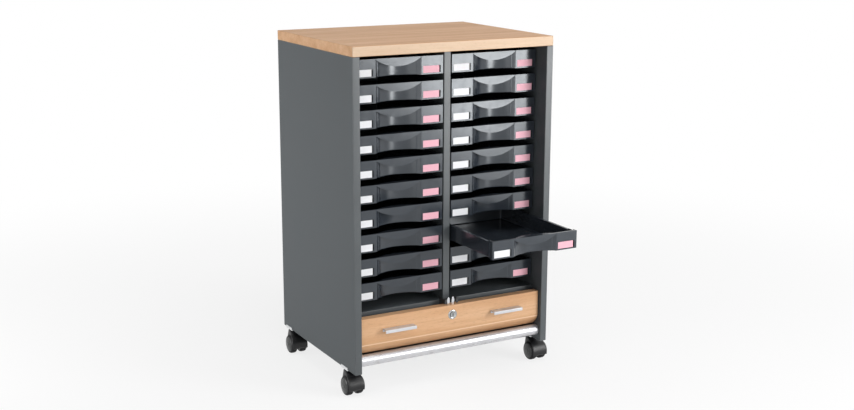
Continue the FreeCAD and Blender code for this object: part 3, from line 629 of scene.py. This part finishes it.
def add_tub(bm):
    """Tray body: rounded floor edge, rounded rim, walls of one thickness."""
    wall = TUB_WALL
    rings = [
        tub_ring(2.2 * MM, 0, False),
        tub_ring(0.7 * MM, 0.5 * MM, False),
        tub_ring(0, 2.4 * MM, False),
        tub_ring(0, -0.7 * MM, True),
        tub_ring(0.25 * MM, -0.2 * MM, True),
        tub_ring(0.7 * MM, 0, True),
        tub_ring(wall - 0.7 * MM, 0, True),
        tub_ring(wall - 0.25 * MM, -0.2 * MM, True),
        tub_ring(wall, -0.7 * MM, True),
        tub_ring(wall, wall + 3 * MM, False),
        tub_ring(wall + 0.9 * MM, wall + 0.9 * MM, False),
        tub_ring(wall + 3 * MM, wall, False),
    ]
    add_loft(bm, rings)


def front_outline():
    """Front plate from the front: a rectangle with the finger opening under the curved lip."""
    radius = (PULL_HALF**2 + LIP_DROP**2) / (2 * LIP_DROP)
    centre = LIP_EDGE - LIP_DROP + radius
    reach = math.asin(OPENING_HALF / radius)
    low, high = 0.1 * MM, TRAY_HEIGHT
    points = [(-FRONT_HALF, low), (-OPENING_HALF, low)]
    for turn in arc(-reach, reach, 41):
        points.append((radius * math.sin(turn), centre - radius * math.cos(turn)))
    points += [(OPENING_HALF, low), (FRONT_HALF, low), (FRONT_HALF, high), (-FRONT_HALF, high)]
    return points


def pockets():
    """Label pockets and the slots beside them that the card is pushed out through."""
    boxes = []
    low, high = CARD_LOW - POCKET_PLAY, CARD_LOW + CARD_HEIGHT + POCKET_PLAY
    for left in CARD_PLACES:
        end = left + CARD_WIDTH
        far = end + POCKET_END_PLAY
        boxes.append(((left - POCKET_PLAY, -MM, low), (far, POCKET_DEPTH, high)))
        top = (end + CARD_SLOT, 2 * PLATE_BACK, high - SLOT_INSET)
        boxes.append(((far, -MM, low + SLOT_INSET), top))
    return boxes


def set_back_middle():
    """What is taken off the front plate between its label ends, with a soft slope at both sides."""
    slope = [(STEP_X - inwards * MM, back * MM) for inwards, back in PLATE_SLOPE]
    outline = slope + [(-x, y) for x, y in reversed(slope)]
    return [(x, y, -MM) for x, y in outline], (0, 0, TRAY_HEIGHT + 2 * MM)


def front_plate_mesh():
    """Front plate of a tray with its label pockets."""
    bm = bmesh.new()
    add_prism(bm, [(x, 0, z) for x, z in front_outline()], (0, PLATE_BACK, 0))
    made = piece("tray_plate", bm, [paint["tray"]])
    cut(made, pockets(), [set_back_middle()])
    all_smooth(made)
    return baked(soften(made, TRAY_EDGE, 2, 40))


def add_recess_ends(bm):
    """Outer ends of the finger recess, from the tray body to the front plate."""
    outer, inner = (math.acos((y - PULL_CENTRE) / PULL_RADIUS) for y in (RECESS_FRONT, RECESS_BACK))
    curve = []
    for turn in arc(outer, inner, 7):
        curve.append((PULL_RADIUS * math.sin(turn), PULL_CENTRE + PULL_RADIUS * math.cos(turn)))
    curve += [(STEP_X, RECESS_BACK), (STEP_X, RECESS_FRONT)]
    for sign in (-1, 1):
        add_prism(bm, [(sign * x, y, RECESS_LOW) for x, y in curve], (0, 0, RECESS_HEIGHT))


def add_top_flange(bm):
    """Flat rim that closes the front plate, the body and the finger recess from above."""
    low = LIP_EDGE + 0.3 * MM
    high = TRAY_HEIGHT - 0.15 * MM
    edge = FRONT_HALF - 0.15 * MM
    front = PLATE_STEP + 0.3 * MM
    back = TUB_FRONT + TUB_WALL / 2
    radius = PULL_RADIUS + TUB_WALL / 2
    reach = math.acos((back - PULL_CENTRE) / radius)
    outline = [(edge, back, low), (edge, front, low), (-edge, front, low), (-edge, back, low)]
    for turn in arc(-reach, reach, 25):
        outline.append((radius * math.sin(turn), PULL_CENTRE + radius * math.cos(turn), low))
    add_prism(bm, outline, (0, 0, high - low))


def add_side_strip(bm, x_range, y_range, z_range):
    """Box along each side of the tray, given for its right side."""
    for sign in (-1, 1):
        left, right = sorted(sign * x for x in x_range)
        add_box(bm, (left, y_range[0], z_range[0]), (right, y_range[1], z_range[1]))


def trim_mesh():
    """Rim and recess ends at the front of a tray, its side rails, and the returns of its front."""
    bm = bmesh.new()
    add_top_flange(bm)
    add_recess_ends(bm)
    rail = (TUB_HALF - 0.3 * MM, FRONT_HALF)
    add_side_strip(bm, rail, (SHOULDER, TRAY_LENGTH), (RAIL_LOW, RIM_HEIGHT - 0.1 * MM))
    cheek = (FRONT_HALF - TUB_WALL, FRONT_HALF - 0.1 * MM)
    add_side_strip(bm, cheek, (MM, RETURN_DEPTH), (0.2 * MM, FRONT_RIM_HEIGHT))
    foot = (TUB_HALF - MM, FRONT_HALF - 0.5 * MM)
    add_side_strip(bm, foot, (1.5 * MM, RETURN_DEPTH - MM), (0.3 * MM, 2 * MM))
    return baked(piece("tray_trim", bm, [paint["tray"]], TRAY_EDGE, 2))


def tub_mesh():
    """Tray body."""
    bm = bmesh.new()
    add_tub(bm)
    return baked(piece("tray_tub", bm, [paint["tray"]]))


def joined(name, meshes):
    """One mesh out of several finished ones."""
    parts = [link(name + str(i), mesh) for i, mesh in enumerate(meshes)]
    with bpy.context.temp_override(active_object=parts[0], selected_editable_objects=parts):
        bpy.ops.object.join()
    mesh = parts[0].data
    bpy.data.objects.remove(parts[0])
    mesh.name = name
    return mesh


def card_mesh(name, material):
    """Label card, bowed a little between its ends."""
    bm = bmesh.new()
    rings = []
    for share in arc(0, 1, 13):
        x = share * CARD_WIDTH
        front = CARD_SET_BACK - CARD_BOW * math.sin(math.pi * share)
        back = front + CARD_THICKNESS
        rings.append([(x, front, 0), (x, front, CARD_HEIGHT), (x, back, CARD_HEIGHT), (x, back, 0)])
    add_loft(bm, rings)
    return baked(piece(name, bm, [material], 0.08 * MM, 2))


def make_trays():
    """All trays share one mesh, and each card colour one more."""
    tray_mesh = joined("tray_moulding", [front_plate_mesh(), tub_mesh(), trim_mesh()])
    cards = {
        "white": (card_mesh("card_white", paint["white_card"]), CARD_PLACES[0]),
        "pink": (card_mesh("card_pink", paint["pink_card"]), CARD_PLACES[1]),
    }
    for body in sorted(b for b in frame["bodies"] if b.startswith("tray_")):
        low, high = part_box(body)
        corner = Vector(((low.x + high.x) / 2, low.y, low.z))
        made = link(body + "_moulding", tray_mesh)
        made.location = corner
        stand_for(made, body, body)
        for colour, (mesh, left) in cards.items():
            label = link(body + "_card_" + colour, mesh)
            label.location = corner + Vector((left, 0, CARD_LOW))
            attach(label, body)


# Drawer ------------------------------------------------------------------------------------------


def hook_slot(bottom, top):
    """Room for the two hooks between two heights, open above."""
    low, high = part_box("lock_hook_left")
    y = (low.y + high.y) / 2
    one = (-HOOK_SLOT_HALF, y - HOOK_SLOT_PLAY, bottom)
    return one, (HOOK_SLOT_HALF, y + HOOK_SLOT_PLAY, top + MM)


def make_drawer_front():
    """Beech drawer front: upright face, bend and bevel, with hook slot and bore for the key."""
    low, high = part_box("drawer_front")
    depth = high.y - low.y
    corner = low.z + depth
    centre = Vector((0, low.y + FRONT_BEND, corner + FRONT_BEND * math.tan(FRONT_BEVEL / 2)))
    outline = [(low.x, low.y, high.z)]
    for turn in arc(0, FRONT_BEVEL, 13):
        y, z = centre.y - FRONT_BEND * math.cos(turn), centre.z - FRONT_BEND * math.sin(turn)
        outline.append((low.x, y, z))
    outline += [(low.x, high.y, low.z), (low.x, high.y, high.z)]
    bm = bmesh.new()
    add_prism(bm, outline, (high.x - low.x, 0, 0))
    made = piece("drawer_front_panel", bm, [paint["beech_front_painted_glint"]])
    key_low, key_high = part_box("lock_cylinder")
    axis = (key_low.z + key_high.z) / 2
    bore = []
    for turn in full_turn(48):
        bore.append((KEY_BORE * math.cos(turn), low.y - MM, axis + KEY_BORE * math.sin(turn)))
    cut(made, [hook_slot(high.z - HOOK_SLOT_DEPTH, high.z)], [(bore, (0, depth + 2 * MM, 0))])
    all_smooth(made)
    soften(made, 1.0 * MM, 3, 40)
    stand_for(made, "drawer_front", "drawer")


def make_handles():
    """Two channel handles, open below: lip, top plate, back plate, and two posts between them."""
    low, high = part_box("drawer_handles")
    front, back, under = low.y + HANDLE_WALL, high.y - HANDLE_WALL, high.z - HANDLE_WALL
    outline = [(low.y, low.z), (front, low.z), (front, under), (back, under), (back, low.z)]
    outline += [(high.y, low.z), (high.y, high.z), (low.y, high.z)]
    posts = [(low.y + HANDLE_WALL / 2, HANDLE_POST), (high.y - HANDLE_WALL / 2, HANDLE_POST)]
    for side, left in (("left", low.x), ("right", high.x - HANDLE_LENGTH)):
        bm = bmesh.new()
        add_prism(bm, [(left, y, z) for y, z in outline], (HANDLE_LENGTH, 0, 0))
        for x in (left + HANDLE_POST_INSET, left + HANDLE_LENGTH - HANDLE_POST_INSET):
            add_post(bm, (x, (low.z + high.z) / 2), posts)
        made = piece("drawer_handle_" + side, bm, [paint["handle"]], 0.7 * MM)
        if side == "left":
            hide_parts("drawer_handles")
        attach(made, "drawer")


def make_lock():
    """Lock case behind the drawer front and the dished collar around the key cylinder."""
    low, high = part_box("lock_case")
    back = high.y - LOCK_CASE_DEPTH
    bm = bmesh.new()
    add_box(bm, (low.x, back, low.z), high)
    case = piece("lock_case_box", bm, [paint["zinc"]])
    cut(case, [hook_slot(low.z + LOCK_CASE_FLOOR, high.z)])
    soften(case, 0.5 * MM, 2, 40)
    stand_for(case, "lock_case", "drawer")
    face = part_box("drawer_front")[0].y
    profile = [(back, COLLAR_BORE)]
    for reach, radius in zip(COLLAR_REACH, COLLAR_RADIUS):
        profile.append((face - reach * MM, radius * MM))
    profile += [(face, KEY_BORE), (back, KEY_BORE)]
    bm = bmesh.new()
    add_post(bm, ((low.x + high.x) / 2, low.z + KEY_HEIGHT), profile, 64, True)
    collar = piece("lock_collar", bm, [paint["lock"]])
    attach(collar, "drawer")


def make_drawer():
    """Drawer front with its fittings, and the back and bottom of the box behind it."""
    make_drawer_front()
    make_handles()
    make_lock()
    board("drawer_back", "drawer_board", "drawer_board", 0.8 * MM, "drawer")
    board("drawer_bottom", "drawer_board", "drawer_board", 0.4 * MM, "drawer")


# Castors -----------------------------------------------------------------------------------------


def wheel_profile():
    """Right wheel: hollow inner side, rounded tread, domed disc with a ring groove."""
    r, a, b = WHEEL_RADIUS, WHEEL_INNER, WHEEL_OUTER
    hollow = a + WHEEL_HOLLOW
    points = [(a, 0), (a, 0.32 * r), (hollow, 0.36 * r), (hollow, 0.70 * r), (a, 0.74 * r)]
    for turn in arc(0, math.pi / 2, 7):
        x = a + WHEEL_INNER_EDGE * (1 - math.cos(turn))
        points.append((x, r - WHEEL_INNER_EDGE * (1 - math.sin(turn))))
    for turn in arc(0, math.pi / 2, 7):
        x = b - WHEEL_EDGE * (1 - math.sin(turn))
        points.append((x, r - WHEEL_EDGE * (1 - math.cos(turn))))
    rim = r - WHEEL_EDGE
    points += [(b - 0.5 * MM, rim - 0.3 * MM), (b + 0.1 * MM, rim - 0.9 * MM)]
    for share in (0.88, 0.8, 0.7, 0.58, 0.46):
        points.append((b + WHEEL_DOME * (1 - share**2), rim * share))
    hub = WHEEL_CAP * rim
    cap = b + WHEEL_DOME * (1 - WHEEL_CAP**2)
    points += [(cap - 0.4 * MM, hub), (cap - 0.4 * MM, hub - 0.6 * MM), (cap, hub - 0.9 * MM)]
    points += [(b + WHEEL_DOME, hub * 0.4), (b + WHEEL_DOME, 0)]
    return points


def make_wheels(name):
    """Both wheels of one castor: rubber tread, glossy discs."""
    low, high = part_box("castor_wheels_" + name)
    centre = (low + high) / 2
    bm = bmesh.new()
    add_lathe(bm, wheel_profile(), centre)
    add_lathe(bm, [(-x, r) for x, r in wheel_profile()], centre)
    bmesh.ops.remove_doubles(bm, verts=bm.verts, dist=1e-6)
    for face in bm.faces:
        out = face.calc_center_median() - centre
        radius = math.hypot(out.y, out.z)
        face.material_index = 1 if radius > WHEEL_RADIUS - WHEEL_EDGE - 0.5 * MM else 0
    made = piece("castor_wheel_pair_" + name, bm, [paint["disc"], paint["tread"]])
    stand_for(made, "castor_wheels_" + name, "wheels_" + name)


def hood_section(half):
    """Cross-section of the hood, as (x, radius) points: a shell with rounded shoulders."""
    across = [half * share for share in (-0.7, -0.45, -0.22, 0, 0.22, 0.45, 0.7)]
    shoulder = [
        (half - 2.0 * MM, HOOD_OUTER),
        (half - 0.6 * MM, HOOD_OUTER - 0.5 * MM),
        (half, HOOD_INNER + 0.5 * MM),
        (half, HOOD_INNER + 0.1 * MM),
    ]
    over = [(-x, r) for x, r in reversed(shoulder)] + [(x, HOOD_OUTER) for x in across] + shoulder
    under = [half - 0.8 * MM, *reversed(across), 0.8 * MM - half]
    return over + [(x, HOOD_INNER) for x in under]


def hood_half(turn):
    """Half the width of the hood: full in front of the wheels, narrower over their tops."""
    share = min(max((math.degrees(turn) - HOOD_NARROW) / HOOD_WIDEN, 0), 1)
    return HOOD_TOP_HALF + (HOOD_HALF - HOOD_TOP_HALF) * share * share * (3 - 2 * share)


def add_hood_shell(bm, axle):
    """Shell over both wheels, with a low arch in its front edge, and the web between them."""
    start = math.pi - math.asin(HOOD_FRONT_LOW / HOOD_OUTER)
    end = math.asin(HOOD_REAR_LOW / HOOD_OUTER)
    rings = []
    for turn in arc(start, end, 49):
        near = max(0, 1 - (start - turn) / HOOD_ARCH_REACH)
        ring = []
        for x, r in hood_section(hood_half(turn)):
            bend = turn - HOOD_ARCH * near * (1 - (x / HOOD_HALF) ** 2)
            ring.append(axle + Vector((x, r * math.cos(bend), r * math.sin(bend))))
        rings.append(ring)
    add_loft(bm, rings)
    web = []
    for turn in arc(start - HOOD_ARCH - HOOD_WEB_BACK, end, 25):
        ray = Vector((0, math.cos(turn), math.sin(turn)))
        web.append(axle + ray * (HOOD_INNER + 0.5 * MM) + Vector((-HOOD_WEB / 2, 0, 0)))
    add_prism(bm, web, (HOOD_WEB, 0, 0))


def add_hood_fairing(bm, axle):
    """Fairing from the shell up to the swivel boss."""
    hull = []
    for drop, inset in BOSS_ROUNDING:
        height, radius = BOSS_TOP - drop * MM, BOSS_RADIUS - inset * MM
        for turn in full_turn(32):
            y = CASTOR_TRAIL + radius * math.sin(turn)
            hull.append(axle + Vector((radius * math.cos(turn), y, height)))
    low, high = HOOD_OUTER - 0.5 * MM, HOOD_OUTER + 0.6 * MM
    for turn in arc(*FAIRING_REACH, 14):
        half = hood_half(turn)
        edge = half - 1.6 * MM
        for x, reach in ((-edge, low), (-half / 2, high), (half / 2, high), (edge, low)):
            hull.append(axle + Vector((x, reach * math.cos(turn), reach * math.sin(turn))))
    verts = [bm.verts.new(p) for p in hull]
    made = bmesh.ops.convex_hull(bm, input=verts)
    inside = [v for v in made["geom_interior"] if v.is_valid]
    bmesh.ops.delete(bm, geom=inside, context="VERTS")


def make_hood(name):
    """Castor hood."""
    low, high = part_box("castor_hood_" + name)
    axle = Vector(((low.x + high.x) / 2, high.y - BOSS_RADIUS - CASTOR_TRAIL, WHEEL_RADIUS))
    bm = bmesh.new()
    add_hood_shell(bm, axle)
    add_hood_fairing(bm, axle)
    hood = piece("castor_cover_" + name, bm, [paint["hood"]], 0.3 * MM, 2)
    stand_for(hood, "castor_hood_" + name, "castor_" + name)


def make_castors():
    """All four castors."""
    for name in CASTORS:
        make_wheels(name)
        make_hood(name)


# CAD pieces that keep their shape ----------------------------------------------------------------


def dress(node, material, bevel=0.0):
    """Gives a CAD node its finish and, where asked, rounded edges."""
    shown = frame["nodes"][node]
    shown.data.materials.clear()
    shown.data.materials.append(paint[material])
    if bevel:
        weld = shown.modifiers.new("weld", "WELD")
        weld.merge_threshold = 1e-5
        soften(shown, bevel, 2, 35)


def dress_cad_nodes():
    """Fittings whose CAD shape is what is seen."""
    for name in CASTORS:
        dress("castor_pins_" + name, "zinc")
    for node in frame["nodes"]:
        if node.startswith("tray_runners"):
            dress(node, "runner", 0.3 * MM)
    dress("carcass_dowels", "dowel")
    dress("tube_end_plugs", "plug")
    dress("drawer_sides", "drawer_board", 0.5 * MM)
    dress("drawer_slide_channels", "zinc", 0.25 * MM)
    dress("drawer_slide_rails", "zinc", 0.25 * MM)
    dress("handle_screws", "zinc", 0.2 * MM)
    dress("castor_clasps", "zinc", 0.3 * MM)
    dress("lock_cylinder", "lock", 0.2 * MM)
    dress("lock_hook_left", "chrome", 0.3 * MM)
    dress("lock_hook_right", "chrome", 0.3 * MM)
    dress("lock_keep", "keep", 0.3 * MM)


# Studio ------------------------------------------------------------------------------------------


def area_light(name, at, target, size, power):
    """Soft rectangular lamp that faces a target."""
    lamp = bpy.data.lights.new(name, "AREA")
    lamp.shape = "RECTANGLE"
    lamp.size, lamp.size_y = size
    lamp.energy = power
    made = link(name, lamp)
    made.location = at
    made.rotation_euler = (Vector(target) - Vector(at)).to_track_quat("-Z", "Z").to_euler()
    made.visible_camera = False


def seen_directly(tree):
    """1 for rays that show a background: camera, mirror and glass rays."""
    path = add_node(tree, "LightPath")
    total = path.outputs["Is Camera Ray"]
    for ray in ("Is Glossy Ray", "Is Transmission Ray"):
        larger = add_node(tree, "Math", {0: total, 1: path.outputs[ray]}, operation="MAXIMUM")
        total = larger.outputs[0]
    return total


def make_world():
    """White backdrop, with a softer level that lights the object."""
    world = bpy.data.worlds.new("studio")
    bpy.context.scene.world = world
    world.use_nodes = True
    tree = world.node_tree
    background = tree.nodes["Background"]
    background.inputs["Color"].default_value = (1, 1, 1, 1)
    sockets = {"Value": seen_directly(tree), "To Min": WORLD_LIGHT, "To Max": 1.0}
    level = add_node(tree, "MapRange", sockets)
    tree.links.new(level.outputs["Result"], background.inputs["Strength"])


def floor_material():
    """White floor. It glows fully far away and less near the object, so that the shadow shows."""
    material = bpy.data.materials.new("floor_white")
    material.use_nodes = True
    tree = material.node_tree
    tree.nodes.clear()
    where = add_node(tree, "TexCoord").outputs["Object"]
    away = add_node(tree, "VectorMath", {0: where}, operation="LENGTH").outputs["Value"]
    sockets = {"Value": away, "From Min": FLOOR_NEAR, "From Max": FLOOR_FAR}
    sockets |= {"To Min": FLOOR_GLOW_NEAR, "To Max": 1.0}
    far = add_node(tree, "MapRange", sockets, interpolation_type="SMOOTHSTEP").outputs["Result"]
    share = add_node(tree, "Math", {0: seen_directly(tree), 1: far}, operation="MULTIPLY")
    diffuse = add_node(tree, "BsdfDiffuse", {"Color": FLOOR_COLOUR}).outputs["BSDF"]
    glow = add_node(tree, "Emission").outputs["Emission"]
    mixed = add_node(tree, "MixShader", {0: share.outputs[0], 1: diffuse, 2: glow})
    add_node(tree, "OutputMaterial", {"Surface": mixed.outputs["Shader"]})
    return material


def make_floor():
    """Pale floor that keeps a soft shadow under the object."""
    bm = bmesh.new()
    bmesh.ops.create_grid(bm, x_segments=1, y_segments=1, size=FLOOR_SIZE)
    mesh = mesh_from("floor", bm)
    mesh.materials.append(floor_material())
    link("floor", mesh)


def make_lights():
    """Tall softbox at the front right, which the upper trays reflect, and soft fill around it."""
    for name, at, target, size, power in LAMPS:
        area_light(name, at, target, size, power)


def make_camera():
    """Camera at the photograph's viewing angle."""
    data = bpy.data.cameras.new("camera")
    data.sensor_width = SENSOR
    data.lens = FOCAL_PX / IMAGE_WIDTH * SENSOR
    data.clip_end = 100
    made = link("camera", data)
    yaw, pitch, roll = (math.radians(v) for v in (CAMERA_YAW, CAMERA_PITCH, CAMERA_ROLL))
    turn = Matrix.Rotation(-yaw, 4, "Z") @ Matrix.Rotation(math.pi / 2 + pitch, 4, "X")
    made.matrix_world = Matrix.Translation(CAMERA_AT) @ turn @ Matrix.Rotation(roll, 4, "Z")
    bpy.context.scene.camera = made


make_camera()
make_world()
make_floor()
make_lights()
make_carcass()
make_trays()
make_drawer()
make_castors()
dress_cad_nodes()
bpy.context.scene.view_settings.view_transform = "Standard"
